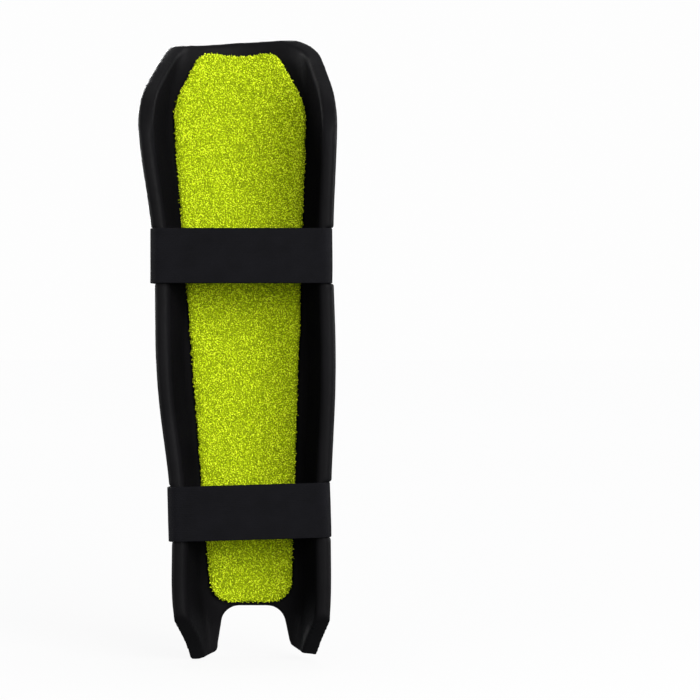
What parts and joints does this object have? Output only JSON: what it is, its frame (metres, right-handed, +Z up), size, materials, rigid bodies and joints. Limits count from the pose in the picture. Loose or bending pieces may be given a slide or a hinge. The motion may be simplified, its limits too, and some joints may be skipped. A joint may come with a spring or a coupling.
{
  "type": "shin guard",
  "caption": "Left-leg moulded foam shin guard with a curved open-backed shell, an ankle notch, a towelling lining and elastic straps round the calf.",
  "frame": {"origin": "on the wearer's leg axis, level with the tips of the ankle prongs", "axes": "+Z up the shin towards the knee, +Y towards the toes, out of the front of the shell, -X towards the outer side of a left leg"},
  "size_m": [0.1293, 0.0888, 0.4162],
  "materials": {
    "shell_foam": "closed-cell foam, matt moulded skin",
    "pad_foam": "soft open-cell foam, hidden",
    "towelling": "lime green towelling pile",
    "strap_elastic": "charcoal woven elastic, fine flat weave",
    "hook_tape": "black moulded hook tape",
    "loop_tape": "black brushed loop tape",
    "binding_tape": "black folded tape",
    "thread": "black polyester thread"
  },
  "bodies": {
    "guard": {"foam_shell": "shell_foam", "comfort_foam": "pad_foam", "towelling_liner": "towelling", "upper_lateral_loop_patch": "loop_tape", "upper_medial_loop_patch": "loop_tape", "upper_strap_anchor": "strap_elastic", "upper_anchor_hook": "hook_tape", "upper_anchor_stitching": "thread", "lower_lateral_loop_patch": "loop_tape", "lower_medial_loop_patch": "loop_tape", "lower_strap_anchor": "strap_elastic", "lower_anchor_hook": "hook_tape", "lower_anchor_stitching": "thread"},
    "upper_band": {"upper_strap_band": "strap_elastic"},
    "upper_tab": {"upper_strap_tab": "strap_elastic", "upper_closure_hook": "hook_tape", "upper_pull_tab": "binding_tape", "upper_tab_stitching": "thread"},
    "lower_band": {"lower_strap_band": "strap_elastic"},
    "lower_tab": {"lower_strap_tab": "strap_elastic", "lower_closure_hook": "hook_tape", "lower_pull_tab": "binding_tape", "lower_tab_stitching": "thread"}
  },
  "joints": [
    {"name": "upper_strap_swing", "type": "hinge", "parent": "guard", "child": "upper_band", "pos_m": [0.05506, -0.01618, 0.2663], "axis": [0, 0, 1], "range_deg": [0, 100]},
    {"name": "upper_tab_peel", "type": "hinge", "parent": "upper_band", "child": "upper_tab", "pos_m": [-0.05961, -0.01918, 0.2663], "axis": [0, 0, 1], "range_deg": [0, 80]},
    {"name": "lower_strap_swing", "type": "hinge", "parent": "guard", "child": "lower_band", "pos_m": [0.05394, -0.01138, 0.10185], "axis": [-0.0288, 0, 0.9996], "range_deg": [0, 100]},
    {"name": "lower_tab_peel", "type": "hinge", "parent": "lower_band", "child": "lower_tab", "pos_m": [-0.04859, -0.01438, 0.0989], "axis": [-0.0288, 0, 0.9996], "range_deg": [0, 80]}
  ],
  "couplings": [
    {"joint": "upper_tab_peel", "follows": "upper_strap_swing", "ratio": 0.8},
    {"joint": "lower_tab_peel", "follows": "lower_strap_swing", "ratio": 0.8}
  ]
}
